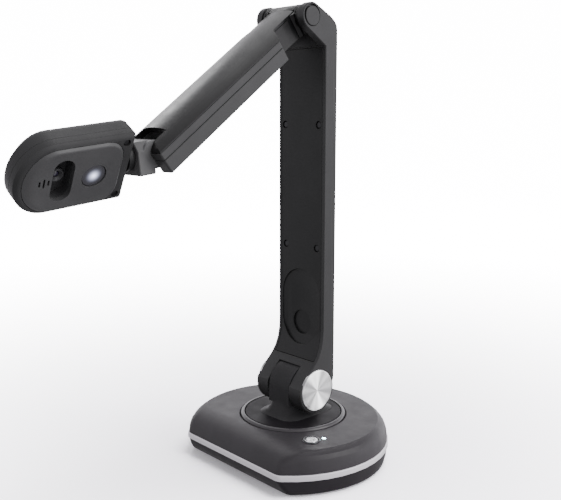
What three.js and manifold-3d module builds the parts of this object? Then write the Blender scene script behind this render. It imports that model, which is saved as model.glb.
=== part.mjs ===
// Folding document camera: weighted D-shaped base, swivel turntable, tall column,
// folding upper arm and a flat camera head that tilts and swivels.
// Millimetres, +Z up. Origin: on the surface under the turntable's axis.
// +X is the side of the power button, -Y is the way the arm and the head reach.
import * as THREE from 'three';
import { mergeVertices } from 'three/addons/utils/BufferGeometryUtils.js';
import Module from 'manifold-3d';

const wasm = await Module();
wasm.setup();

// ---------------------------------------------------------------- dimensions
const GAP = 0.3;

// base
const BASE_CENTRE_Y = -4.2;
const BASE_RADIUS = 70.8;
const BASE_FLAT_Y = -57.7;
const BASE_BACK_RATIO = 0.95;
const BASE_CORNER = 7;
const BAND_LOW_Z = 10.8;
const BAND_HIGH_Z = 14.9;
const PLATEAU_Z = 28.4;
const PLATEAU_RADIUS = 64.0;
const COVER_WALL = 2.4;
const PAD_THICKNESS = 1.6;
const BUTTON = new THREE.Vector3(44.6, -26.2, PLATEAU_Z);
const BEZEL_RADIUS = 6;
const BUTTON_RADIUS = 4.3;
const LED = new THREE.Vector3(47.8, -17.6, PLATEAU_Z);
const LED_RADIUS = 1.3;
const SCREW_PLACES = [[46, 27], [-46, 27], [36, -41], [-36, -41]];
const POST_PLACES = [[19, 31], [-19, 31], [19, 51], [-19, 51]];
const PILOT_RADIUS = 1.75;

// turntable and pedestal
const WELL_RADIUS = 37.5;
const RING_RADIUS = 37.1;
const DISC_RADIUS = 34.1;
const DISC_TOP_Z = 29.9;
const HUB_RADIUS = 25.6;
const BEARING_RADIUS = 31.5;
const FOOT_SQUARENESS = 0.5;

// lower hinge
const HINGE_Y = 1.5;
const HINGE_Z = 49.6;
const BARREL_RADIUS = 15.4;
const EAR_RADIUS = 16;
const PEDESTAL_HALF = 10;
const EAR_INNER_X = 10.8;
const CAP_RADIUS = 14.3;
const SHAFT_RADIUS = 4;
const WASHER_RADIUS = 10;
const BORE_CLEARANCE = 0.12;

// column
const COLUMN_HALF = 22.3;
const COLUMN_BACK_Y = 18.2;
const COLUMN_FRONT_Y = 7.1;
const CHANNEL_HALF = 19.9;
const COVER_HALF = 19.6;
const COVER_TOP_Z = 279.3;

// finger recess low in the column's front cover
const RECESS_HALF = 18.2;
const RECESS_LOW_Z = 77.5;
const RECESS_HIGH_Z = 131;
const RECESS_FLOOR_Y = 8.8;
const RECESS_DISH = 1.1;
const POCKET_Z = 92.7;
const POCKET_RADIUS = 8.6;
const POCKET_FLOOR_Y = 9.9;

// elbow
const ELBOW_Y = -4.9;
const ELBOW_Z = 297.9;
const ELBOW_EAR_RADIUS = 8.6;
const ELBOW_EAR_INNER = 17;
const ELBOW_BARREL_RADIUS = 7.9;
const ELBOW_BARREL_HALF = 16.4;
const ELBOW_SHAFT_RADIUS = 2.5;
const ELBOW_CAP_RADIUS = 6.2;
const ELBOW_SEAT_MARGIN = 0.75;
const ELBOW_SEAT_SHIFT = 0.45;
const ELBOW_SEAT_DEPTH = 1.7;
const GROOVE_HALF = 0.35;

// upper arm, in its own frame: along the arm, across (X), and outwards
const ARM_PITCH = THREE.MathUtils.degToRad(36.4);
const ARM_START = 31.6;
const ARM_END = 143;
const ARM_HALF = 21;
const ARM_WALL = 2.2;
const ARM_INNER_T = -11.1;
const ARM_PART_T = -2.3;
const ARM_EDGE_T = 2.5;
const ARM_CROWN_T = 8.1;
const FORK_HALF = 11.7;
const FORK_DEPTH = 19;
const TONGUE_START = 3.5;
const TONGUE_HALF = 11.5;
const TONGUE_WALL = 1.6;
const TILT_PIN_RADIUS = 1.55;
const TILT_S = 140.2;

// head, in its own frame: across, along, and out of the lens side
const HEAD_PITCH = THREE.MathUtils.degToRad(6.4);
const HEAD_TURN = THREE.MathUtils.degToRad(54.8);
const NECK_LENGTH = 13;
const NECK_HALF = 11.2;
const NECK_BARREL_RADIUS = 8.1;
const COLLAR_RADIUS = 8.4;
const HEAD_START = 2.5;
const HEAD_LENGTH = 67.3;
const HEAD_Y0 = NECK_LENGTH + HEAD_START;
const HEAD_Y1 = HEAD_Y0 + HEAD_LENGTH;
const HEAD_TIP = 20.7;
const HEAD_HALF = 23;
const HEAD_BACK_N = -8.3;
const HEAD_EDGE_N = 7.4;
const HEAD_RIM_N = 9.2;
const PANEL_N = 11.1;
const PANEL_Y0 = 22;
const PANEL_Y1 = 79;
const PANEL_HALF = 20.2;
const PANEL_TIP = 18;
const PANEL_CORNER = 11;
const LENS_Y = 57.6;
const LENS_BARREL_RADIUS = 4.2;
const WELL_HALF_LONG = 13.6;
const WELL_HALF_WIDE = 6.1;
const WELL_X = 0.8;
const WINDOW_X = 0.4;
const WINDOW_Y = 39;
const WINDOW_DISC_RADIUS = 7.1;
const MIC_X = 1.2;
const MIC_Y = 68;

// ------------------------------------------------------------------- colours
const charcoal = { color: 0x2e2d31, roughness: 0.55, metalness: 0 };
const charcoalSide = { color: 0x4a494d, roughness: 0.5, metalness: 0 };
const darkPanel = { color: 0x1f1f21, roughness: 0.6, metalness: 0 };
const greyBlock = { color: 0x5e5e61, roughness: 0.5, metalness: 0 };
const rubber = { color: 0x18181a, roughness: 0.9, metalness: 0 };
const silver = { color: 0xd6d4d6, roughness: 0.3, metalness: 1 };
const steel = { color: 0x9a9a9c, roughness: 0.4, metalness: 1 };
const zinc = { color: 0x7f8083, roughness: 0.5, metalness: 1 };
const boardGreen = { color: 0x1d5a3a, roughness: 0.6, metalness: 0 };
const darkGlass = { color: 0x0b0b10, roughness: 0.08, metalness: 0 };
const lightWindow = { color: 0xe8e6f4, roughness: 0.3, metalness: 0 };
const nylon = { color: 0xc9c7bd, roughness: 0.6, metalness: 0 };

// ------------------------------------------------------------ solid helpers
function bare(geometry) {
  const copy = geometry.clone();
  for (const name of Object.keys(copy.attributes)) {
    if (name !== 'position') copy.deleteAttribute(name);
  }
  copy.clearGroups();
  return mergeVertices(copy, 1e-4);
}

function toSolid(geometry) {
  const merged = bare(geometry);
  const vertProperties = new Float32Array(merged.attributes.position.array);
  const triVerts = new Uint32Array(merged.index.array);
  return new wasm.Manifold(new wasm.Mesh({ numProp: 3, vertProperties, triVerts }));
}

function toGeometry(solid) {
  const mesh = solid.getMesh();
  const geometry = new THREE.BufferGeometry();
  const positions = new Float32Array(mesh.vertProperties);
  geometry.setAttribute('position', new THREE.BufferAttribute(positions, 3));
  geometry.setIndex(new THREE.BufferAttribute(new Uint32Array(mesh.triVerts), 1));
  return geometry;
}

function join(first, ...others) {
  let solid = toSolid(first);
  for (const other of others) solid = solid.add(toSolid(other));
  return toGeometry(solid);
}

function cut(first, ...others) {
  let solid = toSolid(first);
  for (const other of others) solid = solid.subtract(toSolid(other));
  return toGeometry(solid);
}

function common(first, second) {
  return toGeometry(toSolid(first).intersect(toSolid(second)));
}

// Stacked rings of equal point count, counter-clockwise seen from the last ring.
function loft(rings) {
  const count = rings[0].length;
  const positions = [];
  const index = [];
  for (const ring of rings) {
    for (const point of ring) positions.push(point.x, point.y, point.z);
  }
  for (let level = 0; level < rings.length - 1; level += 1) {
    for (let i = 0; i < count; i += 1) {
      const j = (i + 1) % count;
      const a = level * count + i;
      const b = level * count + j;
      const c = a + count;
      const d = b + count;
      index.push(a, b, d, a, d, c);
    }
  }
  const flat = (ring) => ring.map((point) => new THREE.Vector2(point.x, point.y));
  const lastStart = (rings.length - 1) * count;
  for (const [a, b, c] of THREE.ShapeUtils.triangulateShape(flat(rings[0]), [])) {
    index.push(c, b, a);
  }
  for (const [a, b, c] of THREE.ShapeUtils.triangulateShape(flat(rings.at(-1)), [])) {
    index.push(lastStart + a, lastStart + b, lastStart + c);
  }
  const geometry = new THREE.BufferGeometry();
  geometry.setAttribute('position', new THREE.Float32BufferAttribute(positions, 3));
  geometry.setIndex(index);
  return geometry;
}

function box(x0, x1, y0, y1, z0, z1) {
  const geometry = new THREE.BoxGeometry(x1 - x0, y1 - y0, z1 - z0);
  geometry.translate((x0 + x1) / 2, (y0 + y1) / 2, (z0 + z1) / 2);
  return geometry;
}

// A turned solid about Z from [radius, z] pairs that start and end on the axis.
function turned(profile, segments = 40) {
  const points = profile.map(([radius, z]) => new THREE.Vector2(Math.max(radius, 0), z));
  const geometry = new THREE.LatheGeometry(points, segments);
  geometry.rotateX(Math.PI / 2);
  return geometry;
}

// A turned ring about Z with a square section.
function turnedRing(inner, outer, low, high, segments) {
  return turned([[inner, low], [outer, low], [outer, high], [inner, high], [inner, low]], segments);
}

function rod(radius, low, high, segments = 32, edge = 0) {
  const profile = edge > 0
    ? [[0, low], [radius - edge, low], [radius, low + edge], [radius, high - edge],
      [radius - edge, high], [0, high]]
    : [[0, low], [radius, low], [radius, high], [0, high]];
  return turned(profile, segments);
}

// Turns a solid made about Z so that its axis runs along +X.
function alongX(geometry, y = 0, z = 0) {
  geometry.rotateY(Math.PI / 2);
  geometry.translate(0, y, z);
  return geometry;
}

function shapeFrom(points) {
  return new THREE.Shape(points.map(([x, y]) => new THREE.Vector2(x, y)));
}

// A plate in the XY plane from z = low, its edges eased inwards.
function plate(shape, low, high, edge = 0, steps = 2, curves = 10) {
  const options = edge > 0
    ? { depth: high - low - 2 * edge, bevelEnabled: true, bevelThickness: edge,
      bevelSize: edge, bevelOffset: -edge, bevelSegments: steps, curveSegments: curves }
    : { depth: high - low, bevelEnabled: false, curveSegments: curves };
  const geometry = new THREE.ExtrudeGeometry(shape, options);
  geometry.translate(0, 0, low + edge);
  return geometry;
}

// A profile given as [y, z] pairs, extruded across from x = low to x = high.
function across(points, low, high, edge = 0, steps = 2) {
  const geometry = plate(shapeFrom(points), low, high, edge, steps);
  const basis = new THREE.Matrix4().makeBasis(
    new THREE.Vector3(0, 1, 0), new THREE.Vector3(0, 0, 1), new THREE.Vector3(1, 0, 0));
  geometry.applyMatrix4(basis);
  return geometry;
}

function arcPoints(cx, cy, radius, from, to, count) {
  const points = [];
  for (let i = 0; i <= count; i += 1) {
    const angle = THREE.MathUtils.degToRad(from + (to - from) * i / count);
    points.push([cx + radius * Math.cos(angle), cy + radius * Math.sin(angle)]);
  }
  return points;
}

function circleShape(radius, x = 0, y = 0) {
  const shape = new THREE.Shape();
  shape.absarc(x, y, radius, 0, Math.PI * 2, false);
  return shape;
}

// ------------------------------------------------------------------ assembly
const documentCamera = new THREE.Group();

function add(name, geometry, finish, matrix = null) {
  const placed = bare(geometry);
  if (matrix) placed.applyMatrix4(matrix);
  placed.computeVertexNormals();
  const mesh = new THREE.Mesh(placed, new THREE.MeshStandardMaterial(finish));
  mesh.name = name;
  documentCamera.add(mesh);
}

// ---------------------------------------------------------------------- base
// D outline: a round back, a little shallower than a circle, and a straight front with
// rounded corners.
function dOutline(radius, flatY, corner, z = 0, arcSteps = 34, cornerSteps = 4) {
  const centre = BASE_CENTRE_Y;
  const cornerY = flatY + corner;
  const cornerX = Math.sqrt((radius - corner) ** 2 - (cornerY - centre) ** 2);
  const meet = Math.atan2(cornerY - centre, cornerX);
  const points = [];
  for (let i = 0; i < arcSteps; i += 1) {
    const angle = meet + (Math.PI - 2 * meet) * i / arcSteps;
    const reach = radius * (Math.sin(angle) > 0 ? BASE_BACK_RATIO : 1);
    points.push(new THREE.Vector3(radius * Math.cos(angle), centre + reach * Math.sin(angle), z));
  }
  for (let i = 0; i <= cornerSteps; i += 1) {
    const angle = Math.PI - meet + (Math.PI / 2 + meet) * i / cornerSteps;
    points.push(new THREE.Vector3(
      -cornerX + corner * Math.cos(angle), cornerY + corner * Math.sin(angle), z));
  }
  for (let i = 0; i < cornerSteps; i += 1) {
    const angle = -Math.PI / 2 + (Math.PI / 2 + meet) * i / cornerSteps;
    points.push(new THREE.Vector3(
      cornerX + corner * Math.cos(angle), cornerY + corner * Math.sin(angle), z));
  }
  return points;
}

function dSolid(levels) {
  return loft(levels.map(([z, radius, flatY, corner]) => dOutline(radius, flatY, corner, z)));
}

add('non_slip_pad', dSolid([
  [0, 63.6, -46.2, 9], [0.4, 64, -46.6, 9], [PAD_THICKNESS, 64, -46.6, 9],
]), rubber);

const bottomOuter = dSolid([
  [0.5, 67.6, -50.4, 7], [1.2, 69.3, -52.0, 7], [5.0, 70.3, -54.6, 7],
  [BAND_LOW_Z - 0.2, 70.8, -57.4, 7],
]);
const bottomCuts = [
  dSolid([[-1, 64.4, -47.0, 9], [PAD_THICKNESS + 0.2, 64.4, -47.0, 9]]),
  dSolid([[4.2, 67.2, -50.2, 6], [BAND_LOW_Z + 1, 67.9, -54.4, 6]]),
];
for (const [x, y] of SCREW_PLACES) {
  const hole = turned([[0, 1], [3.4, 1], [3.4, 3.0], [PILOT_RADIUS, 3.0], [PILOT_RADIUS, 5],
    [0, 5]], 12);
  hole.translate(x, y, 0);
  bottomCuts.push(hole);
}
let bottomCover = cut(bottomOuter, ...bottomCuts);
for (const [x, y] of POST_PLACES) {
  const post = rod(2.6, 4.0, 14.3, 10);
  post.translate(x, y, 0);
  bottomCover = join(bottomCover, post);
}
add('base_bottom_cover', bottomCover, charcoal);

const bandOuter = dSolid([
  [BAND_LOW_Z, 71.2, -57.9, 7], [BAND_LOW_Z + 0.4, 71.5, -58.2, 7],
  [BAND_HIGH_Z - 0.4, 71.5, -58.2, 7], [BAND_HIGH_Z, 71.2, -57.9, 7],
]);
const bandInner = dSolid([
  [BAND_LOW_Z - 1, 68.3, -54.9, 6], [BAND_HIGH_Z + 1, 68.3, -54.9, 6],
]);
add('base_trim_band', cut(bandOuter, bandInner), silver);

const topOuter = dSolid([
  [BAND_HIGH_Z + 0.2, BASE_RADIUS, BASE_FLAT_Y, BASE_CORNER],
  [20.0, 70.3, -56.7, 8], [23.4, 69.2, -54.3, 9],
  [25.9, 67.4, -50.6, 10], [27.5, 65.4, -45.6, 11],
  [28.15, PLATEAU_RADIUS + 0.4, -40.6, 12], [PLATEAU_Z, PLATEAU_RADIUS, -38.6, 12],
]);
const topInner = dSolid([
  [BAND_HIGH_Z - 1, 68.3, -55.2, 5], [22, 67.7, -52.6, 6],
  [PLATEAU_Z - COVER_WALL, 62.5, -40.5, 10],
]);
const collar = turnedRing(24, 42, 22.6, 27, 40);
const bosses = SCREW_PLACES.map(([x, y]) => {
  const boss = rod(4, 9.9, 26.6, 12);
  boss.translate(x, y, 0);
  return boss;
});
const topCuts = [
  rod(WELL_RADIUS, 25.4, 40, 48),
  turned([[0, PLATEAU_Z - 0.7], [WELL_RADIUS - 0.05, PLATEAU_Z - 0.7],
    [WELL_RADIUS + 0.95, PLATEAU_Z + 0.3], [0, PLATEAU_Z + 0.3]], 48),
  rod(26, 15, 30, 40),
];
for (const [x, y] of SCREW_PLACES) {
  const pilot = rod(PILOT_RADIUS, 9, 20, 10);
  pilot.translate(x, y, 0);
  topCuts.push(pilot);
}
for (const [place, radius] of [[BUTTON, BEZEL_RADIUS + 0.15], [LED, LED_RADIUS + 0.2]]) {
  const hole = rod(radius, 20, 34, 24);
  hole.translate(place.x, place.y, 0);
  topCuts.push(hole);
}
topCuts.push(box(-5.0, 5.0, 56, 72, 16.0, 20.3));
let topShell = cut(topOuter, topInner);
topShell = join(topShell, collar, ...bosses);
add('base_top_cover', cut(topShell, ...topCuts), charcoal);

let ballast = dSolid([[4.5, 59, -43, 8], [9.4, 59, -43, 8]]);
const ballastCuts = [box(-27, 27, 25, 80, 0, 20)];
for (const [x, y] of SCREW_PLACES) {
  const room = rod(5, 0, 20, 12);
  room.translate(x, y, 0);
  ballastCuts.push(room);
}
ballast = cut(ballast, ...ballastCuts);
add('ballast_plate', ballast, zinc);

add('main_board', box(-22, 22, 27, 55, 14.5, 16.1), boardGreen);
add('usb_socket', cut(box(-4.6, 4.6, 52, 62, 16.4, 19.9), box(-4.1, 4.1, 53.5, 70, 16.9, 19.4)),
  steel);

SCREW_PLACES.forEach(([x, y], i) => {
  const screw = turned([[0, 1.9], [2.7, 1.9], [3.0, 2.2], [3.0, 2.8], [1.5, 2.9], [1.5, 15],
    [1.0, 16], [0, 16]], 8);
  screw.translate(x, y, 0);
  add(`base_screw_${i + 1}`, screw, steel);
});

// power button: chrome bezel in the cover, sprung cap inside it
const bezel = turned([[4.55, 27.2], [BEZEL_RADIUS, 27.2], [BEZEL_RADIUS, 28.6],
  [BEZEL_RADIUS - 0.3, 29.0], [5.0, 29.1], [4.55, 28.8], [4.55, 27.2]], 28);
bezel.translate(BUTTON.x, BUTTON.y, 0);
add('button_bezel', bezel, silver);
const buttonCap = turned([[0, 24.2], [BUTTON_RADIUS, 24.2], [BUTTON_RADIUS, 28.7],
  [BUTTON_RADIUS - 0.3, 29.0], [2.2, 29.15], [0, 29.2]], 28);
buttonCap.translate(BUTTON.x, BUTTON.y, 0);
add('power_button', buttonCap, steel);
const switchBody = box(BUTTON.x - 3.2, BUTTON.x + 3.2, BUTTON.y - 3.2, BUTTON.y + 3.2,
  18.6, 22.6);
add('power_switch', switchBody, rubber);
add('button_board', box(BUTTON.x - 11, BUTTON.x + 10, BUTTON.y - 7, BUTTON.y + 12, 16.8, 18.4),
  boardGreen);
const led = turned([[0, 18.7], [LED_RADIUS, 18.7], [LED_RADIUS, 28.2], [0.9, 28.6], [0, 28.7]], 12);
led.translate(LED.x, LED.y, 0);
add('status_led', led, lightWindow);

// ----------------------------------------------------------------- turntable
add('turntable_ring', turned([[DISC_RADIUS + 0.4, 25.6], [RING_RADIUS, 25.6], [RING_RADIUS, 27.9],
  [RING_RADIUS - 0.4, 28.5], [DISC_RADIUS + 1.0, DISC_TOP_Z + 0.1],
  [DISC_RADIUS + 0.4, DISC_TOP_Z - 0.1], [DISC_RADIUS + 0.4, 25.6]], 56), charcoal);

const disc = turned([[0, 20.4], [HUB_RADIUS, 20.4], [HUB_RADIUS, 25.6], [DISC_RADIUS, 25.6],
  [DISC_RADIUS, DISC_TOP_Z - 0.6], [DISC_RADIUS - 0.6, DISC_TOP_Z], [0, DISC_TOP_Z]], 56);
const PEDESTAL_SCREWS = [[0, 11], [0, -11]];
const discCuts = [rod(7, 10, 40, 24)];
for (const [x, y] of PEDESTAL_SCREWS) {
  const hole = rod(1.6, 10, 40, 10);
  hole.translate(x, y, 0);
  discCuts.push(hole);
}
add('turntable_disc', cut(disc, ...discCuts), charcoal);
add('swivel_retainer', turnedRing(15, BEARING_RADIUS, 18.4, 20.2, 32), steel);
add('swivel_bearing', turnedRing(HUB_RADIUS + 0.6, BEARING_RADIUS, 20.6, 22.4, 32), nylon);

// pedestal: a flared foot rising into the hinge barrel
function footRing(z, halfX, frontY, backY, steps = 32) {
  const middle = (frontY + backY) / 2;
  const halfY = (backY - frontY) / 2;
  const points = [];
  for (let i = 0; i < steps; i += 1) {
    const angle = i / steps * Math.PI * 2;
    const c = Math.cos(angle);
    const s = Math.sin(angle);
    points.push(new THREE.Vector3(halfX * Math.sign(c) * Math.abs(c) ** FOOT_SQUARENESS,
      middle + halfY * Math.sign(s) * Math.abs(s) ** FOOT_SQUARENESS, z));
  }
  return points;
}
const foot = loft([
  footRing(DISC_TOP_Z + 0.1, 18.5, -20.5, 27), footRing(30.8, 16.2, -18.6, 24.6),
  footRing(32, 13.6, -16.8, 21.6), footRing(34.5, 11.6, -15.2, 18.9),
  footRing(37.5, 10.4, -14.2, 16.9), footRing(41, 10, -13.9, 15.8),
]);
const barrel = alongX(rod(BARREL_RADIUS, -PEDESTAL_HALF, PEDESTAL_HALF, 48, 0.4), HINGE_Y, HINGE_Z);
const waist = across([[-13.9, 38], [16.2, 38], [16.9, 49], [-13.9, 49]],
  -PEDESTAL_HALF, PEDESTAL_HALF);
const pedestalCuts = [
  alongX(rod(SHAFT_RADIUS + BORE_CLEARANCE, -30, 30, 32), HINGE_Y, HINGE_Z),
  rod(5.5, 20, 36, 24),
];
for (const [x, y] of PEDESTAL_SCREWS) {
  const hole = rod(1.6, 20, 38, 10);
  hole.translate(x, y, 0);
  pedestalCuts.push(hole);
}
for (const [low, high] of [[10.4, 40], [-40, -10.4]]) {
  pedestalCuts.push(alongX(rod(EAR_RADIUS + 0.7, low, high, 40), HINGE_Y, HINGE_Z));
}
add('pedestal', cut(join(foot, waist, barrel), ...pedestalCuts), charcoal);
PEDESTAL_SCREWS.forEach(([x, y], i) => {
  const screw = turned([[0, 18.4], [2.2, 18.4], [2.5, 18.7], [2.5, 20.2], [1.4, 20.25],
    [1.4, 36], [0.9, 37], [0, 37]], 8);
  screw.translate(x, y, 0);
  add(`pedestal_screw_${i + 1}`, screw, steel);
});

// -------------------------------------------------------------------- column
const columnBackLine = [[COLUMN_BACK_Y, 58], [COLUMN_BACK_Y, 290.6], [17.5, 293.9],
  [15.4, 296.5], [11.9, 299.0]];
const elbowTop = arcPoints(ELBOW_Y, ELBOW_Z, ELBOW_EAR_RADIUS, 57, 238, 16);
const frontSweep = [[COLUMN_FRONT_Y, 280], [COLUMN_FRONT_Y, 92], [6.7, 85], [5.4, 78.4],
  [3.0, 72.6], [-0.8, 67.4], [-5.6, 62.8], [-9.8, 58.6], [-12.6, 54.6]];
const lowerEar = arcPoints(HINGE_Y, HINGE_Z, EAR_RADIUS, 168, 372, 24);
const columnOutline = [...frontSweep, ...lowerEar, [17.9, 54.5], ...columnBackLine, ...elbowTop];
const columnBody = across(columnOutline, -COLUMN_HALF, COLUMN_HALF, 0.5, 1);

const channel = across([[-10, 77], [0.55, 69.25], [2.55, 67.8], [6.5, 69.4], [15.8, 75],
  [15.8, 283], [10.1, 283], [10.1, COVER_TOP_Z + GAP], [-10, COVER_TOP_Z + GAP]],
-CHANNEL_HALF, CHANNEL_HALF);
const elbowRoom = join(
  box(-ELBOW_EAR_INNER, ELBOW_EAR_INNER, -40, COLUMN_FRONT_Y, COVER_TOP_Z + 1, 320),
  alongX(rod(11.4, -ELBOW_EAR_INNER, ELBOW_EAR_INNER, 32), ELBOW_Y, ELBOW_Z));
const hingeRoom = join(
  alongX(rod(EAR_RADIUS + 0.3, -EAR_INNER_X, EAR_INNER_X, 40), HINGE_Y, HINGE_Z),
  box(-EAR_INNER_X, EAR_INNER_X, -30, 30, 20, HINGE_Z));
const capSeats = [-1, 1].map((side) => {
  const seat = rod(CAP_RADIUS + 0.3, 0, 4, 40);
  alongX(seat, HINGE_Y, HINGE_Z);
  seat.translate(side > 0 ? COLUMN_HALF - 1.6 : -COLUMN_HALF - 2.4, 0, 0);
  return seat;
});
// The elbow caps' seats lie a little up and forward, which leaves a shadow gap on that side.
const elbowSeats = [-1, 1].map((side) => {
  const low = COLUMN_HALF - ELBOW_SEAT_DEPTH;
  const seat = rod(ELBOW_CAP_RADIUS + ELBOW_SEAT_MARGIN, low, low + 4, 28);
  if (side < 0) seat.rotateX(Math.PI);
  return alongX(seat, ELBOW_Y - ELBOW_SEAT_SHIFT, ELBOW_Z + ELBOW_SEAT_SHIFT);
});
const columnShell = cut(columnBody, channel, elbowRoom, hingeRoom, ...capSeats, ...elbowSeats,
  alongX(rod(SHAFT_RADIUS + BORE_CLEARANCE, -30, 30, 32), HINGE_Y, HINGE_Z),
  alongX(rod(ELBOW_SHAFT_RADIUS + BORE_CLEARANCE, -30, 30, 24), ELBOW_Y, ELBOW_Z));
add('column_shell', columnShell, charcoalSide);

const coverFront = [[COLUMN_FRONT_Y + 0.1, COVER_TOP_Z], [COLUMN_FRONT_Y + 0.1, 92], [6.8, 85],
  [5.5, 78.5], [3.1, 72.7], [0.9, 69.6]];
const coverBack = [[2.8, 68.2], [6.6, 71.4], [9.2, 77.5], [10.4, 84.5], [10.9, 92],
  [10.9, COVER_TOP_Z]];
const frontCover = across([...coverFront, ...coverBack], -COVER_HALF, COVER_HALF, 0.25, 1);

// Stands a plate drawn in X and Z upright, from y = low back to y = high.
function upright(shape, low, high, curves = 12) {
  const geometry = plate(shape, 0, high - low, 0, 2, curves);
  geometry.applyMatrix4(new THREE.Matrix4().makeBasis(
    new THREE.Vector3(1, 0, 0), new THREE.Vector3(0, 0, 1), new THREE.Vector3(0, -1, 0)));
  geometry.translate(0, high, 0);
  return geometry;
}
const recessShape = new THREE.Shape();
recessShape.absarc(0, RECESS_HIGH_Z - RECESS_HALF, RECESS_HALF, 0, Math.PI, false);
recessShape.absarc(0, RECESS_LOW_Z + RECESS_HALF, RECESS_HALF, Math.PI, Math.PI * 2, false);
const recessDepth = across([[0, 70], [0, 140], [RECESS_FLOOR_Y, 140], [RECESS_FLOOR_Y, 92],
  [8.4, 85], [7.3, 79.5], [5.8, 75]], -COVER_HALF, COVER_HALF);
const dishRadius = (RECESS_HALF ** 2 + RECESS_DISH ** 2) / (2 * RECESS_DISH);
const dishAngle = THREE.MathUtils.radToDeg(Math.asin(COVER_HALF / dishRadius));
const dish = plate(shapeFrom([[-COVER_HALF, 0], [COVER_HALF, 0],
  ...arcPoints(0, RECESS_FLOOR_Y - dishRadius, dishRadius, 90 - dishAngle, 90 + dishAngle, 14)]),
70, 140);
const recess = common(common(upright(recessShape, 0, 12), recessDepth), dish);
const pocket = upright(circleShape(POCKET_RADIUS, 0, POCKET_Z), 5, POCKET_FLOOR_Y, 16);
const COVER_SCREWS = [[16, 229.8], [-16, 229.8], [15, 147], [-15, 147]];
const coverCuts = [recess, pocket];
for (const [x, z] of COVER_SCREWS) {
  const hole = turned([[0, 0], [2.6, 0], [2.6, 1.9], [1.35, 1.9], [1.35, 6], [0, 6]], 14);
  hole.rotateX(-Math.PI / 2);
  hole.translate(x, COLUMN_FRONT_Y - 0.2, z);
  coverCuts.push(hole);
}
add('column_front_cover', cut(frontCover, ...coverCuts), darkPanel);

COVER_SCREWS.forEach(([x, z], i) => {
  const screw = turned([[0, 0.9], [1.9, 0.9], [2.2, 1.2], [2.2, 1.8], [1.1, 1.85], [1.1, 3.4],
    [0, 3.4]], 12);
  screw.rotateX(-Math.PI / 2);
  screw.translate(x, COLUMN_FRONT_Y - 0.2, z);
  add(`column_screw_${i + 1}`, screw, steel);
});

const spine = cut(box(-13, 13, 11.2, 15.2, 82, 276), box(-11.6, 11.6, 9, 13.8, 80, 280));
add('column_spine', spine, steel);

const lowerShaft = cut(alongX(rod(SHAFT_RADIUS, -20.2, 20.2, 32, 0.3), HINGE_Y, HINGE_Z),
  alongX(rod(1.6, 12, 24, 10), HINGE_Y, HINGE_Z), alongX(rod(1.6, -24, -12, 10), HINGE_Y, HINGE_Z));
add('lower_hinge_shaft', lowerShaft, steel);
for (const [side, name] of [[1, 'right'], [-1, 'left']]) {
  const cap = turned([[0, 20.9], [CAP_RADIUS, 20.9], [CAP_RADIUS, 22.4],
    [CAP_RADIUS - 0.5, 22.85], [0, 22.85]], 48);
  if (side < 0) cap.rotateX(Math.PI);
  add(`hinge_cap_${name}`, alongX(cap, HINGE_Y, HINGE_Z), silver);
  const washer = turnedRing(SHAFT_RADIUS + 0.2, WASHER_RADIUS, 10.15, 10.65, 24);
  if (side < 0) washer.rotateX(Math.PI);
  add(`friction_washer_${name}`, alongX(washer, HINGE_Y, HINGE_Z), nylon);
  const elbowCap = turned([[0, 20.8], [ELBOW_CAP_RADIUS, 20.8], [ELBOW_CAP_RADIUS, 22.2],
    [ELBOW_CAP_RADIUS - 0.3, 22.5], [0, 22.5]], 28);
  if (side < 0) elbowCap.rotateX(Math.PI);
  add(`elbow_cap_${name}`, alongX(elbowCap, ELBOW_Y, ELBOW_Z), charcoalSide);
}
add('elbow_shaft', alongX(rod(ELBOW_SHAFT_RADIUS, -20.6, 20.6, 24, 0.2), ELBOW_Y, ELBOW_Z), steel);

// ----------------------------------------------------------------- upper arm
const armAlong = new THREE.Vector3(0, -Math.cos(ARM_PITCH), -Math.sin(ARM_PITCH));
const armOut = new THREE.Vector3(0, -Math.sin(ARM_PITCH), Math.cos(ARM_PITCH));
const armMatrix = new THREE.Matrix4().makeBasis(armAlong, new THREE.Vector3(1, 0, 0), armOut);
armMatrix.setPosition(0, ELBOW_Y, ELBOW_Z);

// Turns a solid made about Z so that its axis runs across the arm (its local Y).
function acrossArm(geometry, s = 0, t = 0) {
  geometry.rotateX(-Math.PI / 2);
  geometry.translate(s, 0, t);
  return geometry;
}

function roundedStrip(s0, s1, half, corner) {
  return shapeFrom([
    ...arcPoints(s0 + corner, -half + corner, corner, 180, 270, 4),
    ...arcPoints(s1 - corner, -half + corner, corner, 270, 360, 4),
    ...arcPoints(s1 - corner, half - corner, corner, 0, 90, 4),
    ...arcPoints(s0 + corner, half - corner, corner, 90, 180, 4),
  ]);
}

const forkSlot = box(ARM_END - FORK_DEPTH, ARM_END + 8, -FORK_HALF, FORK_HALF, -20, 20);
const tiltRoom = acrossArm(rod(TILT_PIN_RADIUS + 0.15, -18, 18, 24), TILT_S, 0);

const tray = cut(
  plate(roundedStrip(ARM_START, ARM_END, ARM_HALF, 1.2), ARM_INNER_T, ARM_PART_T, 0.5, 2),
  box(ARM_START + ARM_WALL, ARM_END - 22, -ARM_HALF + ARM_WALL, ARM_HALF - ARM_WALL,
    ARM_INNER_T + ARM_WALL, 10),
  forkSlot);
add('arm_inner_shell', tray, charcoalSide, armMatrix);

const frameStrip = cut(
  plate(roundedStrip(ARM_START, ARM_END, ARM_HALF, 1.2), ARM_PART_T + 0.25, ARM_EDGE_T - 0.15,
    0.2, 1),
  box(ARM_START + ARM_WALL, ARM_END - 22, -ARM_HALF + ARM_WALL, ARM_HALF - ARM_WALL, -20, 20),
  forkSlot, tiltRoom);
add('arm_frame', frameStrip, charcoalSide, armMatrix);

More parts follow.
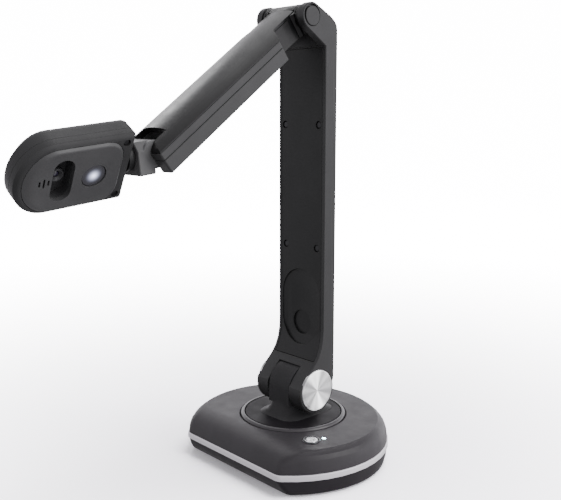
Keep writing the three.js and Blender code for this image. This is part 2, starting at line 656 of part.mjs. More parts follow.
// arched outer cover: a shallow arc across the arm
function archSection(half, low, rise, steps = 18) {
  const radius = (half ** 2 + rise ** 2) / (2 * rise);
  const reach = THREE.MathUtils.radToDeg(Math.asin(half / radius));
  return [[half, low - 0.6], ...arcPoints(0, low + rise - radius, radius, 90 - reach, 90 + reach,
    steps), [-half, low - 0.6]];
}
function archSolid(s0, s1, half, low, rise, edge = 0) {
  const solid = plate(shapeFrom(archSection(half, low, rise)), s0, s1, edge, 2);
  solid.applyMatrix4(new THREE.Matrix4().makeBasis(
    new THREE.Vector3(0, 1, 0), new THREE.Vector3(0, 0, 1), new THREE.Vector3(1, 0, 0)));
  return solid;
}
// A profile given as [along, outwards] pairs, extruded across the arm.
function profileAcrossArm(points, low, high) {
  const geometry = plate(shapeFrom(points), low, high);
  geometry.applyMatrix4(new THREE.Matrix4().makeBasis(
    new THREE.Vector3(1, 0, 0), new THREE.Vector3(0, 0, 1), new THREE.Vector3(0, -1, 0)));
  return geometry;
}
const coverLow = ARM_EDGE_T + 0.7;
const coverRise = ARM_CROWN_T - coverLow;
const coverOuter = archSolid(ARM_START, ARM_END - 0.5, ARM_HALF, coverLow, coverRise, 0.3);
const coverInner = archSolid(ARM_START + ARM_WALL, ARM_END - FORK_DEPTH - 2, ARM_HALF - ARM_WALL,
  coverLow - 0.8, coverRise - 1.0);
// The crown runs on over the knuckle, narrowing to a tongue that ends at the elbow barrel.
const tonguePlan = shapeFrom([[TONGUE_START, -TONGUE_HALF], [25, -TONGUE_HALF],
  [ARM_START, -ARM_HALF], [ARM_START + 3, -ARM_HALF], [ARM_START + 3, ARM_HALF],
  [ARM_START, ARM_HALF], [25, TONGUE_HALF], [TONGUE_START, TONGUE_HALF]]);
const tongueRoom = archSolid(0, ARM_START, ARM_HALF + 1, coverLow - TONGUE_WALL, coverRise);
const tongue = cut(common(
  archSolid(TONGUE_START, ARM_START + 3, ARM_HALF, coverLow, coverRise),
  plate(tonguePlan, 0, 20)), tongueRoom, box(0, ARM_START, -25, 25, -5, coverLow - TONGUE_WALL));
// The outer end falls away in a curve towards the neck, and a notch clears the neck block.
const endCurve = profileAcrossArm([[128, 30], [128, 8.4], [131.5, 7.7], [134.6, 6.9], [137.5, 5.9],
  [139.8, 4.9], [141.6, 3.7], [142.6, 2.4], [146, 1.6], [146, 30]], -25, 25);
const notch = profileAcrossArm([[126.4, 30], [126.4, 6.2], [124, 3], [124, -20], [150, -20],
  [150, 30]], -FORK_HALF, FORK_HALF);
add('arm_cover', cut(join(coverOuter, tongue), coverInner, endCurve, notch),
  charcoal, armMatrix);

// knuckle: a waisted neck under the tongue that joins the arm to the elbow barrel
const knuckleProfile = [[0, -7.9], [5, -8.6], [9, -9.5], [ARM_START - GAP, -9.5],
  [ARM_START - GAP, 20], [6, 20], [6, 8.0], [0, 7.9], [-3, 7.2], [-5.6, 4], [-5.6, -4], [-3, -7.2]];
const knucklePlan = shapeFrom([[-6, ELBOW_BARREL_HALF], [-6, -ELBOW_BARREL_HALF],
  [4.5, -ELBOW_BARREL_HALF], [6.6, -14.2], [9, -12.6], [12.5, -11.7], [16, -TONGUE_HALF],
  [ARM_START, -TONGUE_HALF], [ARM_START, TONGUE_HALF], [16, TONGUE_HALF], [12.5, 11.7],
  [9, 12.6], [6.6, 14.2], [4.5, ELBOW_BARREL_HALF]]);
const knuckleBody = common(common(profileAcrossArm(knuckleProfile, -ARM_HALF, ARM_HALF),
  plate(knucklePlan, -20, 20)), join(
  archSolid(-12, ARM_START + 1, ARM_HALF, coverLow, coverRise),
  box(-12, ARM_START + 1, -ARM_HALF, ARM_HALF, -20, coverLow)));
const tongueSeat = cut(
  box(TONGUE_START - GAP, ARM_START + 1, -TONGUE_HALF - GAP, TONGUE_HALF + GAP, 0, 20),
  archSolid(0, ARM_START + 2, ARM_HALF, coverLow - TONGUE_WALL - GAP, coverRise),
  box(0, ARM_START + 2, -ARM_HALF, ARM_HALF, -1, coverLow - TONGUE_WALL - GAP));
const knuckleRound = acrossArm(
  rod(ELBOW_BARREL_RADIUS, -ELBOW_BARREL_HALF, ELBOW_BARREL_HALF, 32, 0.3));
const grooves = [];
for (const side of [-1, 1]) {
  for (const place of [12.2, 14.2]) {
    const low = side * place - GROOVE_HALF;
    const high = side * place + GROOVE_HALF;
    grooves.push(acrossArm(turnedRing(ELBOW_BARREL_RADIUS - 0.6, 20, low, high, 32)));
  }
}
const knuckle = cut(join(knuckleBody, knuckleRound), tongueSeat, ...grooves,
  acrossArm(rod(ELBOW_SHAFT_RADIUS + BORE_CLEARANCE, -30, 30, 24)));
add('arm_knuckle', knuckle, charcoal, armMatrix);

add('arm_spine', cut(box(36, 118, -12, 12, -7.6, 1.8), box(30, 125, -10.6, 10.6, -6.2, 6)),
  steel, armMatrix);
add('tilt_pin', acrossArm(rod(TILT_PIN_RADIUS, -17.4, 17.4, 24, 0.2), TILT_S, 0), steel,
  armMatrix);

// ---------------------------------------------------------------- neck block
const tiltCentre = new THREE.Vector3(TILT_S, 0, 0).applyMatrix4(armMatrix);
const headAlong = new THREE.Vector3(0, -Math.cos(HEAD_PITCH), -Math.sin(HEAD_PITCH));
const sideways = new THREE.Vector3(1, 0, 0);
const neckMatrix = new THREE.Matrix4().makeBasis(sideways, headAlong,
  new THREE.Vector3().crossVectors(sideways, headAlong));
neckMatrix.setPosition(tiltCentre);

function acrossNeck(geometry) {
  geometry.rotateY(Math.PI / 2);
  return geometry;
}

// Turns a solid made about Z so that its axis runs along the neck (its local Y).
function alongNeck(geometry) {
  geometry.rotateX(-Math.PI / 2);
  return geometry;
}

// The block's section across the neck: upright sides, eased lower and sloped upper edges.
const blockSection = shapeFrom([[-NECK_HALF, -2.6], [-7.4, -8.0], [7.4, -8.0],
  [NECK_HALF, -2.6], [NECK_HALF, 10.2], [NECK_HALF - 0.8, 11.0], [0.8 - NECK_HALF, 11.0],
  [-NECK_HALF, 10.2]]);
const blockBody = plate(blockSection, -NECK_HALF, -0.8, 0.4, 1);
blockBody.applyMatrix4(new THREE.Matrix4().makeBasis(
  new THREE.Vector3(1, 0, 0), new THREE.Vector3(0, 0, 1), new THREE.Vector3(0, -1, 0)));
const tiltBarrel = acrossNeck(rod(NECK_BARREL_RADIUS, -NECK_HALF, NECK_HALF, 28, 0.4));
const pinBore = acrossNeck(rod(TILT_PIN_RADIUS + 0.15, -20, 20, 24));
const tubeBore = alongNeck(rod(2.55, 5, 14, 24));
add('neck_block', cut(join(blockBody, tiltBarrel), pinBore, tubeBore), greyBlock, neckMatrix);
const swivelCollar = turnedRing(2.6, COLLAR_RADIUS, NECK_HALF + 0.25, HEAD_Y0 - GAP, 28);
add('swivel_collar', alongNeck(swivelCollar), darkPanel, neckMatrix);
const tubeProfile = [[0, 5.3], [2.35, 5.3], [2.35, 18.3], [4.2, 18.3], [4.2, 19.8], [0, 19.8]];
add('swivel_tube', alongNeck(turned(tubeProfile, 24)), steel, neckMatrix);

// ---------------------------------------------------------------------- head
const headMatrix = neckMatrix.clone().multiply(new THREE.Matrix4().makeRotationY(HEAD_TURN));

// Flat at the neck, straight sides, half-ellipse tip; tipPull draws the tip in further.
function headRing(n, inset, tipPull = 0, steps = 22) {
  const half = HEAD_HALF - inset;
  const start = HEAD_Y0 + inset;
  const shoulder = HEAD_Y1 - HEAD_TIP;
  const reach = HEAD_TIP - inset - tipPull;
  const points = [new THREE.Vector3(half, start + 1, n)];
  for (let i = 0; i <= steps; i += 1) {
    const angle = Math.PI * i / steps;
    points.push(new THREE.Vector3(half * Math.cos(angle), shoulder + reach * Math.sin(angle), n));
  }
  points.push(new THREE.Vector3(-half, start + 1, n));
  points.push(new THREE.Vector3(-half + 1, start, n));
  points.push(new THREE.Vector3(half - 1, start, n));
  return points;
}
const housingOuter = loft([
  headRing(HEAD_BACK_N, 5.6, 8), headRing(-7.5, 2.9, 4.6),
  headRing(-6.0, 1.1, 2.2), headRing(-3.8, 0.2, 0.6), headRing(-2.4, 0, 0), headRing(2.9, 0, 0),
]);
const housingHollow = loft([
  headRing(-6.1, 5.4, 7), headRing(-4.2, 2.8, 3.0), headRing(5, 2.2, 0.4),
]);
const HEAD_SCREWS = [[17.8, 21.2], [-17.8, 21.2]];
let housing = cut(housingOuter, housingHollow);
const housingCuts = [alongNeck(rod(2.6, 10, 24, 24))];
for (const [x, y] of HEAD_SCREWS) {
  const boss = rod(2.9, -7, 2.9, 16);
  boss.translate(x, y, 0);
  housing = join(housing, boss);
  const pilot = rod(1.3, -3.5, 4, 14);
  pilot.translate(x, y, 0);
  housingCuts.push(pilot);
}
add('head_housing', cut(housing, ...housingCuts), charcoalSide, headMatrix);

// Panel outline: rounded corners at the neck end, half-ellipse at the tip.
function panelRing(n, inset, tipPull = 0, steps = 20, cornerSteps = 5) {
  const half = PANEL_HALF - inset;
  const corner = PANEL_CORNER - inset;
  const start = PANEL_Y0 + inset;
  const shoulder = PANEL_Y1 - PANEL_TIP;
  const reach = PANEL_TIP - inset - tipPull;
  const points = [];
  for (let i = 0; i <= steps; i += 1) {
    const angle = Math.PI * i / steps;
    points.push(new THREE.Vector3(half * Math.cos(angle), shoulder + reach * Math.sin(angle), n));
  }
  for (let i = 0; i <= cornerSteps; i += 1) {
    const angle = Math.PI + Math.PI / 2 * i / cornerSteps;
    points.push(new THREE.Vector3(-half + corner + corner * Math.cos(angle),
      start + corner + corner * Math.sin(angle), n));
  }
  for (let i = 0; i <= cornerSteps; i += 1) {
    const angle = Math.PI * 1.5 + Math.PI / 2 * i / cornerSteps;
    points.push(new THREE.Vector3(half - corner + corner * Math.cos(angle),
      start + corner + corner * Math.sin(angle), n));
  }
  return points;
}
const bezelOuter = loft([
  headRing(3.1, 0), headRing(HEAD_EDGE_N - 0.6, 0), headRing(HEAD_EDGE_N, 0.25),
  headRing(8.5, 1.4), headRing(HEAD_RIM_N, 2.7),
]);
const bezelCuts = [
  loft([panelRing(2, -0.3), panelRing(12, -0.3)]),
  alongNeck(rod(4.7, 17.9, 30, 24)),
];
for (const [x, y] of HEAD_SCREWS) {
  const hole = turned([[0, 2], [1.3, 2], [1.3, 7.2], [2.3, 7.2], [2.3, 12], [0, 12]], 14);
  hole.translate(x, y, 0);
  bezelCuts.push(hole);
}
add('head_bezel', cut(bezelOuter, ...bezelCuts), charcoalSide, headMatrix);
HEAD_SCREWS.forEach(([x, y], i) => {
  const screw = turned([[0, -3], [1.1, -3], [1.1, 7.3], [1.95, 7.4], [1.95, 8.1], [1.6, 8.4],
    [0, 8.4]], 12);
  screw.translate(x, y, 0);
  add(`head_screw_${i + 1}`, screw, steel, headMatrix);
});

function stadium(halfLong, halfWide, x = 0, y = 0, steps = 10) {
  const reach = halfLong - halfWide;
  return shapeFrom([...arcPoints(x + reach, y, halfWide, -90, 90, steps),
    ...arcPoints(x - reach, y, halfWide, 90, 270, steps)]);
}
// The lens well's outline, grown outwards by wall.
function wellOutline(wall) {
  return stadium(WELL_HALF_LONG + wall, WELL_HALF_WIDE + wall, WELL_X, LENS_Y);
}
const panelBlank = loft([panelRing(8.0, 0), panelRing(9.3, 0), panelRing(10.5, 0.8, 2.0),
  panelRing(PANEL_N, 1.8, 4.2)]);
const panelCuts = [plate(wellOutline(0), 2, 14)];
const windowHole = rod(WINDOW_DISC_RADIUS + GAP, 2, 14, 28);
windowHole.translate(WINDOW_X, WINDOW_Y, 0);
panelCuts.push(windowHole);
[[0, 3.1], [2.5, 1.9], [-2.5, 1.9]].forEach(([dy, halfLong]) => {
  panelCuts.push(plate(stadium(halfLong, 0.55, MIC_X, MIC_Y + dy, 4), 2, 14));
});
add('lens_panel', cut(panelBlank, ...panelCuts), darkPanel, headMatrix);

const wellBlank = plate(wellOutline(1.2), 1.2, 7.8);
const wellRoom = plate(wellOutline(0), 2.4, 12);
const wellHole = rod(LENS_BARREL_RADIUS + GAP, 0, 5, 24);
wellHole.translate(0, LENS_Y, 0);
add('lens_well', cut(wellBlank, wellRoom, wellHole), rubber, headMatrix);
const lensBarrel = turned([[0, -1.8], [LENS_BARREL_RADIUS, -1.8], [LENS_BARREL_RADIUS, 5.0],
  [LENS_BARREL_RADIUS - 0.3, 5.3], [3.3, 5.3], [1.9, 4.0], [1.9, 3.0], [0, 3.0]], 24);
lensBarrel.translate(0, LENS_Y, 0);
add('lens_barrel', lensBarrel, darkPanel, headMatrix);
const lensGlass = turned([[0, 3.1], [1.75, 3.1], [1.75, 3.6], [1.2, 3.95], [0, 4.1]], 16);
lensGlass.translate(0, LENS_Y, 0);
add('lens_glass', lensGlass, darkGlass, headMatrix);
add('sensor_board', box(-13, 13, 46, 69, -3.6, -2.1), boardGreen, headMatrix);

const windowDisc = turned([[0, 8.7], [WINDOW_DISC_RADIUS, 8.7], [WINDOW_DISC_RADIUS, 10.6],
  [WINDOW_DISC_RADIUS - 0.3, 10.9], [0, 10.95]], 28);
windowDisc.translate(WINDOW_X, WINDOW_Y, 0);
add('light_window', windowDisc, lightWindow, headMatrix);
add('light_board', box(-8.5, 9.3, WINDOW_Y - 8, WINDOW_Y + 8, 4.2, 5.6), boardGreen, headMatrix);
add('light_chip', box(-1.8, 2.6, WINDOW_Y - 2.2, WINDOW_Y + 2.2, 5.75, 6.9), lightWindow, headMatrix);
const microphone = rod(3, 4.6, 7.4, 14);
microphone.translate(MIC_X, MIC_Y + 4, 0);
add('microphone', microphone, steel, headMatrix);

export default documentCamera;
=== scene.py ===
"""Desk document camera: materials, fine turned pieces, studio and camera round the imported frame.

Metres, +Z up. The arm and the head reach towards -Y, and the power button is on the +X side.
"""
import math

import bmesh
import bpy
from mathutils import Matrix, Vector


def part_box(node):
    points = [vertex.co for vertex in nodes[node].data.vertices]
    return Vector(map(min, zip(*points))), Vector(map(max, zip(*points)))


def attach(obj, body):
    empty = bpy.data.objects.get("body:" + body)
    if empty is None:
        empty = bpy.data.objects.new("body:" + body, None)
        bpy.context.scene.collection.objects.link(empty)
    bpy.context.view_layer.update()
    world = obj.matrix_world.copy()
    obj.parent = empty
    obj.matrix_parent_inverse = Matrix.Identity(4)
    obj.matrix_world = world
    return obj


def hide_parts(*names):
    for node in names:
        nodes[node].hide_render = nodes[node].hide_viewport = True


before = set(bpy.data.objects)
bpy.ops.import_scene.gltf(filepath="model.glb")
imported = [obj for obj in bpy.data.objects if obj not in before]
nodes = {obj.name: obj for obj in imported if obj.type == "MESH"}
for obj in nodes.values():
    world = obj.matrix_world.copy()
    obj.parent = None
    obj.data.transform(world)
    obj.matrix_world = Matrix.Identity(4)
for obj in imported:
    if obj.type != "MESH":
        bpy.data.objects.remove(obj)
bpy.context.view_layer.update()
MM = 0.001

# ---------------------------------------------------------------- finish of the edges

WELD_DISTANCE = 0.002 * MM
FLAT_ANGLE = math.radians(0.4)     # triangles flatter than this are one face
SHARP_ANGLE = math.radians(33)     # edges sharper than this are rounded, and not shaded smooth
CREASE_ANGLE = math.radians(24)    # the shading's limit on pieces with shallow creases
BEVEL_STEPS = 2


def geometry_group(name):
    """An empty geometry-nodes group with one mesh going in and one coming out."""
    group = bpy.data.node_groups.new(name, "GeometryNodeTree")
    for direction in ("INPUT", "OUTPUT"):
        group.interface.new_socket("Geometry", in_out=direction, socket_type="NodeSocketGeometry")
    source = group.nodes.new("NodeGroupInput")
    target = group.nodes.new("NodeGroupOutput")
    return group, source, target


def weld_group():
    """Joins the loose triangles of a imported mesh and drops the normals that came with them."""
    group, source, target = geometry_group("weld_triangles")
    drop = group.nodes.new("GeometryNodeRemoveAttribute")
    drop.inputs["Name"].default_value = "custom_normal"
    merge = group.nodes.new("GeometryNodeMergeByDistance")
    merge.inputs["Distance"].default_value = WELD_DISTANCE
    group.links.new(source.outputs[0], drop.inputs["Geometry"])
    group.links.new(drop.outputs[0], merge.inputs["Geometry"])
    group.links.new(merge.outputs[0], target.inputs[0])
    return group


def shading_group(name, sharp_angle):
    """Shades a mesh smooth across gentle edges and crisp across sharp ones."""
    group, source, target = geometry_group(name)
    angle = group.nodes.new("GeometryNodeInputMeshEdgeAngle")
    gentle = group.nodes.new("FunctionNodeCompare")
    gentle.data_type = "FLOAT"
    gentle.operation = "LESS_EQUAL"
    gentle.inputs["B"].default_value = sharp_angle
    faces = group.nodes.new("GeometryNodeSetShadeSmooth")
    faces.domain = "FACE"
    edges = group.nodes.new("GeometryNodeSetShadeSmooth")
    edges.domain = "EDGE"
    group.links.new(source.outputs[0], faces.inputs["Geometry"])
    group.links.new(faces.outputs[0], edges.inputs["Geometry"])
    group.links.new(angle.outputs["Unsigned Angle"], gentle.inputs["A"])
    group.links.new(gentle.outputs[0], edges.inputs["Shade Smooth"])
    group.links.new(edges.outputs[0], target.inputs[0])
    return group


WELD = weld_group()
SHADING = shading_group("gentle_edges_smooth", SHARP_ANGLE)
CRISP_SHADING = shading_group("creases_kept", CREASE_ANGLE)


def add_group(piece, group):
    """Puts a geometry-nodes group on a piece."""
    modifier = piece.modifiers.new(group.name, "NODES")
    modifier.node_group = group


def finish_edges(piece, bevel, shading):
    """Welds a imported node, rounds its sharp edges by bevel and shades the rest smooth."""
    add_group(piece, WELD)
    if bevel > 0:
        flat = piece.modifiers.new("flat faces", "DECIMATE")
        flat.decimate_type = "DISSOLVE"
        flat.angle_limit = FLAT_ANGLE
        edge = piece.modifiers.new("edge radius", "BEVEL")
        edge.width = bevel
        edge.segments = BEVEL_STEPS
        edge.limit_method = "ANGLE"
        edge.angle_limit = SHARP_ANGLE
        edge.use_clamp_overlap = True
        edge.miter_outer = "MITER_ARC"
    add_group(piece, shading)
    if bevel > 0:
        weighted = piece.modifiers.new("flat face normals", "WEIGHTED_NORMAL")
        weighted.mode = "FACE_AREA_WITH_ANGLE"
        weighted.keep_sharp = True


# ---------------------------------------------------------------- shader pieces

COLOUR_A, COLOUR_B, COLOUR_RESULT = 6, 7, 2    # where a Mix node keeps its colour sockets


class Shader:
    """One material's node tree, with the few building blocks that the finishes share."""

    def __init__(self, name):
        self.material = bpy.data.materials.new(name)
        self.material.use_nodes = True
        self.tree = self.material.node_tree
        self.surface = self.tree.nodes["Principled BSDF"]
        self.place = self.node("ShaderNodeTexCoord").outputs["Object"]

    def node(self, kind, **settings):
        """A new node with some of its settings."""
        made = self.tree.nodes.new(kind)
        for key, value in settings.items():
            setattr(made, key, value)
        return made

    def join(self, source, target):
        """Links an output socket to an input socket."""
        self.tree.links.new(source, target)

    def noise(self, size, detail=3.0, roughness=0.55):
        """Cloudy noise, 0 to 1, whose patches are about size metres across."""
        made = self.node("ShaderNodeTexNoise")
        made.inputs["Scale"].default_value = 1 / size
        made.inputs["Detail"].default_value = detail
        made.inputs["Roughness"].default_value = roughness
        self.join(self.place, made.inputs["Vector"])
        return made.outputs["Fac"]

    def pebbles(self, size):
        """The rounded cells of a moulded grain, 0 to 1."""
        made = self.node("ShaderNodeTexVoronoi", feature="SMOOTH_F1")
        made.inputs["Scale"].default_value = 1 / size
        made.inputs["Smoothness"].default_value = 0.6
        self.join(self.place, made.inputs["Vector"])
        return made.outputs["Distance"]

    def spread(self, value, low=0.0, high=1.0, start=0.3, end=0.7):
        """Maps value from start..end to low..high."""
        made = self.node("ShaderNodeMapRange")
        made.inputs["From Min"].default_value = start
        made.inputs["From Max"].default_value = end
        made.inputs["To Min"].default_value = low
        made.inputs["To Max"].default_value = high
        self.join(value, made.inputs["Value"])
        return made.outputs["Result"]

    def times(self, first, second):
        """Multiplies two values; each is a float or a socket."""
        made = self.node("ShaderNodeMath", operation="MULTIPLY")
        for value, socket in ((first, made.inputs[0]), (second, made.inputs[1])):
            if isinstance(value, float):
                socket.default_value = value
            else:
                self.join(value, socket)
        return made.outputs[0]

    def wave(self, angle, count, shift):
        """A wave, 0 to 1, that rises count times in a turn; it starts shift radians on."""
        phase = self.node("ShaderNodeMath", operation="MULTIPLY_ADD")
        phase.inputs[1].default_value = count
        phase.inputs[2].default_value = shift
        self.join(angle, phase.inputs[0])
        made = self.node("ShaderNodeMath", operation="SINE")
        self.join(phase.outputs[0], made.inputs[0])
        return self.spread(made.outputs[0], start=-0.8, end=0.9)

    def blend(self, factor, first, second):
        """Mixes two colours; each is a colour or a socket."""
        made = self.node("ShaderNodeMix", data_type="RGBA")
        self.join(factor, made.inputs["Factor"])
        for value, socket in ((first, made.inputs[COLOUR_A]), (second, made.inputs[COLOUR_B])):
            if isinstance(value, tuple):
                socket.default_value = (*value, 1.0)
            else:
                self.join(value, socket)
        return made.outputs[COLOUR_RESULT]

    def edges(self, reach):
        """1 on corners, where a surface wears, and 0 on its open faces."""
        rounded = self.node("ShaderNodeBevel", samples=4)
        rounded.inputs["Radius"].default_value = reach
        straight = self.node("ShaderNodeNewGeometry")
        turn = self.node("ShaderNodeVectorMath", operation="DOT_PRODUCT")
        self.join(rounded.outputs["Normal"], turn.inputs[0])
        self.join(straight.outputs["Normal"], turn.inputs[1])
        return self.spread(turn.outputs["Value"], low=1.0, high=0.0, start=0.86, end=0.995)

    def bump(self, height, depth, below=None):
        """Raises the surface by height (0 to 1) times depth, on top of the bump below."""
        made = self.node("ShaderNodeBump")
        made.inputs["Distance"].default_value = depth
        made.inputs["Strength"].default_value = 1.0
        self.join(height, made.inputs["Height"])
        if below is not None:
            self.join(below, made.inputs["Normal"])
        return made.outputs["Normal"]

    def finish(self, colour, roughness, normal, **constants):
        """Joins the three maps to the surface; the constants go straight on its sockets."""
        self.join(colour, self.surface.inputs["Base Color"])
        self.join(roughness, self.surface.inputs["Roughness"])
        self.join(normal, self.surface.inputs["Normal"])
        for key, value in constants.items():
            self.surface.inputs[key.replace("_", " ")].default_value = value
        return self.material


def tinted(colour, share):
    """A darker or paler version of a colour."""
    return tuple(channel * share for channel in colour)


# ---------------------------------------------------------------- finishes

def moulded(name, colour, gloss, grain=0.35 * MM, depth=0.012 * MM, wear=1.9, sheen=0.3):
    """Moulded plastic: fine pebbled grain, handling marks and slightly paler corners."""
    s = Shader(name)
    clouds = s.noise(22 * MM)
    base = s.blend(s.spread(clouds), tinted(colour, 0.88), tinted(colour, 1.12))
    worn = s.times(s.edges(0.5 * MM), s.spread(s.noise(5 * MM), 0.15, 0.9))
    colour_map = s.blend(worn, base, tinted(colour, wear))
    smears = s.spread(s.noise(14 * MM, detail=5.0, roughness=0.65), gloss - 0.06, gloss + 0.07)
    normal = s.bump(s.pebbles(grain), depth)
    normal = s.bump(s.noise(9 * MM), 0.02 * MM, normal)
    return s.finish(colour_map, smears, normal, IOR=1.5, Specular_IOR_Level=sheen)


def painted_silver(name, colour):
    """Silver paint on plastic: metal flake and a soft clear coat."""
    s = Shader(name)
    flakes = s.noise(0.22 * MM, detail=1.0)
    base = s.blend(s.spread(flakes), tinted(colour, 0.9), tinted(colour, 1.06))
    worn = s.times(s.edges(0.4 * MM), s.spread(s.noise(4 * MM), 0.0, 0.6))
    colour_map = s.blend(worn, base, tinted(colour, 1.12))
    roughness = s.spread(s.noise(11 * MM, detail=4.0), 0.30, 0.42)
    normal = s.bump(flakes, 0.004 * MM)
    return s.finish(colour_map, roughness, normal, Metallic=0.4, Coat_Weight=0.15,
                    Coat_Roughness=0.2)


LATHE_PITCH = 0.16 * MM
GLINT = (1.0, 1.0, 1.0)
GLINT_WAVES = ((4, 0.6, 0.55), (9, 2.1, 0.5))    # wedges in a turn, their shift, their strength


def turned_metal(name, colour, gloss, twist=0.92, painted_glints=False):
    """Lathe-turned metal: rings about the local z axis, which stretch its highlights by twist. A
    face with painted glints also has painted highlights: bright and dull wedges round that axis."""
    s = Shader(name)
    split = s.node("ShaderNodeSeparateXYZ")
    s.join(s.place, split.inputs[0])
    flat = s.node("ShaderNodeCombineXYZ")
    s.join(split.outputs["X"], flat.inputs["X"])
    s.join(split.outputs["Y"], flat.inputs["Y"])
    radius = s.node("ShaderNodeVectorMath", operation="LENGTH")
    s.join(flat.outputs[0], radius.inputs[0])
    turns = s.times(radius.outputs["Value"], 1 / LATHE_PITCH)
    wobble = s.node("ShaderNodeTexNoise", noise_dimensions="1D")
    wobble.inputs["Scale"].default_value = 1.0
    wobble.inputs["Detail"].default_value = 4.0
    s.join(turns, wobble.inputs["W"])
    rings = wobble.outputs["Fac"]
    base = s.blend(s.spread(rings), tinted(colour, 0.82), tinted(colour, 1.08))
    stain = s.spread(s.noise(6 * MM), 0.0, 0.35)
    colour_map = s.blend(stain, base, tinted(colour, 0.8))
    # painted highlights: bright wedges of glint by angle round the axis, mixed into the colour
    if painted_glints:
        angle = s.node("ShaderNodeMath", operation="ARCTAN2")
        s.join(split.outputs["Y"], angle.inputs[0])
        s.join(split.outputs["X"], angle.inputs[1])
        wedges = s.node("ShaderNodeMath", operation="ADD")
        for socket, (count, shift, strength) in zip(wedges.inputs, GLINT_WAVES):
            s.join(s.times(s.wave(angle.outputs[0], count, shift), strength), socket)
        colour_map = s.blend(wedges.outputs[0], colour_map, GLINT)
    roughness = s.spread(rings, gloss - 0.05, gloss + 0.1)
    normal = s.bump(rings, 0.012 * MM)
    tangent = s.node("ShaderNodeTangent", direction_type="RADIAL", axis="Z")
    s.join(tangent.outputs[0], s.surface.inputs["Tangent"])
    return s.finish(colour_map, roughness, normal, Metallic=1.0, Anisotropic=twist,
                    Anisotropic_Rotation=0.25)


def machined(name, colour, gloss):
    """Plain machined or stamped metal with fine scratches along its z axis."""
    s = Shader(name)
    stretch = s.node("ShaderNodeMapping")
    stretch.inputs["Scale"].default_value = (1.0, 1.0, 0.06)
    s.join(s.place, stretch.inputs["Vector"])
    scratches = s.node("ShaderNodeTexNoise")
    scratches.inputs["Scale"].default_value = 1 / (0.2 * MM)
    scratches.inputs["Detail"].default_value = 3.0
    s.join(stretch.outputs[0], scratches.inputs["Vector"])
    lines = scratches.outputs["Fac"]
    colour_map = s.blend(s.spread(s.noise(5 * MM)), tinted(colour, 0.85), colour)
    roughness = s.spread(lines, gloss - 0.06, gloss + 0.1)
    return s.finish(colour_map, roughness, s.bump(lines, 0.005 * MM), Metallic=1.0)


def rubber(name, colour):
    """Matt rubber with a dusty, open grain."""
    s = Shader(name)
    dust = s.spread(s.noise(7 * MM, detail=6.0, roughness=0.7), 0.0, 0.5, start=0.45, end=0.8)
    colour_map = s.blend(dust, colour, tinted(colour, 2.0))
    roughness = s.spread(s.noise(3 * MM), 0.72, 0.9)
    return s.finish(colour_map, roughness, s.bump(s.noise(0.3 * MM), 0.03 * MM))


def board(name, colour):
    """Green circuit board: solder mask with faint copper tracks below it."""
    s = Shader(name)
    tracks = s.node("ShaderNodeTexBrick", offset=0.37)
    tracks.inputs["Scale"].default_value = 1 / (6 * MM)
    tracks.inputs["Mortar Size"].default_value = 0.03
    for socket, level in (("Color1", 0), ("Color2", 0), ("Mortar", 1)):
        tracks.inputs[socket].default_value = (level, level, level, 1)
    s.join(s.place, tracks.inputs["Vector"])
    colour_map = s.blend(tracks.outputs["Color"], colour, tinted(colour, 1.9))
    roughness = s.spread(s.noise(4 * MM), 0.28, 0.4)
    return s.finish(colour_map, roughness, s.bump(tracks.outputs["Color"], 0.03 * MM))


def glowing(name, colour, bright, dim, reach):
    """A lit window: bright on its local z axis, and dim at reach from it."""
    s = Shader(name)
    flat = s.node("ShaderNodeMapping")
    flat.inputs["Scale"].default_value = (1.0, 1.0, 0.0)
    s.join(s.place, flat.inputs["Vector"])
    radius = s.node("ShaderNodeVectorMath", operation="LENGTH")
    s.join(flat.outputs[0], radius.inputs[0])
    glow = s.spread(radius.outputs["Value"], bright, dim, start=0.0, end=reach)
    s.join(glow, s.surface.inputs["Emission Strength"])
    frost = s.noise(0.8 * MM, detail=4.0)
    tint = s.blend(s.spread(frost), tinted(colour, 0.93), colour)
    s.join(tint, s.surface.inputs["Emission Color"])
    roughness = s.spread(frost, 0.22, 0.34)
    return s.finish(tint, roughness, s.bump(frost, 0.01 * MM), IOR=1.49)


LAMP_STRENGTH = 7.0
LAMP_FADE = 4.5
SMOKED = ((0.046, 0.0452, 0.051), (0.056, 0.055, 0.062))


def lamp_window(name, colour, reach):
    """A smoked window with a lamp behind: its bright middle fades out within reach."""
    s = Shader(name)
    radius = s.node("ShaderNodeVectorMath", operation="LENGTH")
    s.join(s.place, radius.inputs[0])
    near = s.spread(radius.outputs["Value"], low=1.0, high=0.0, start=0.0, end=reach)
    fade = s.node("ShaderNodeMath", operation="POWER")
    fade.inputs[1].default_value = LAMP_FADE
    s.join(near, fade.inputs[0])
    s.join(s.times(fade.outputs[0], LAMP_STRENGTH), s.surface.inputs["Emission Strength"])
    s.surface.inputs["Emission Color"].default_value = (*colour, 1.0)
    frost = s.noise(0.8 * MM, detail=4.0)
    tint = s.blend(s.spread(frost), *SMOKED)
    roughness = s.spread(frost, 0.16, 0.26)
    return s.finish(tint, roughness, s.bump(frost, 0.004 * MM), IOR=1.49, Specular_IOR_Level=0.2)


LENS_VIOLET = (0.06, 0.04, 0.11)


def coated_lens(name, colour):
    """Dark, polished, coated glass that turns violet where it slants away from the eye."""
    s = Shader(name)
    slant = s.node("ShaderNodeLayerWeight")
    slant.inputs["Blend"].default_value = 0.35
    colour_map = s.blend(slant.outputs["Facing"], colour, LENS_VIOLET)
    roughness = s.spread(s.noise(2 * MM), 0.02, 0.06)
    return s.finish(colour_map, roughness, s.bump(s.noise(3 * MM), 0.002 * MM),
                    Coat_Weight=1.0, Coat_Roughness=0.02, IOR=1.6)


WINDOW_RADIUS = 7.1 * MM
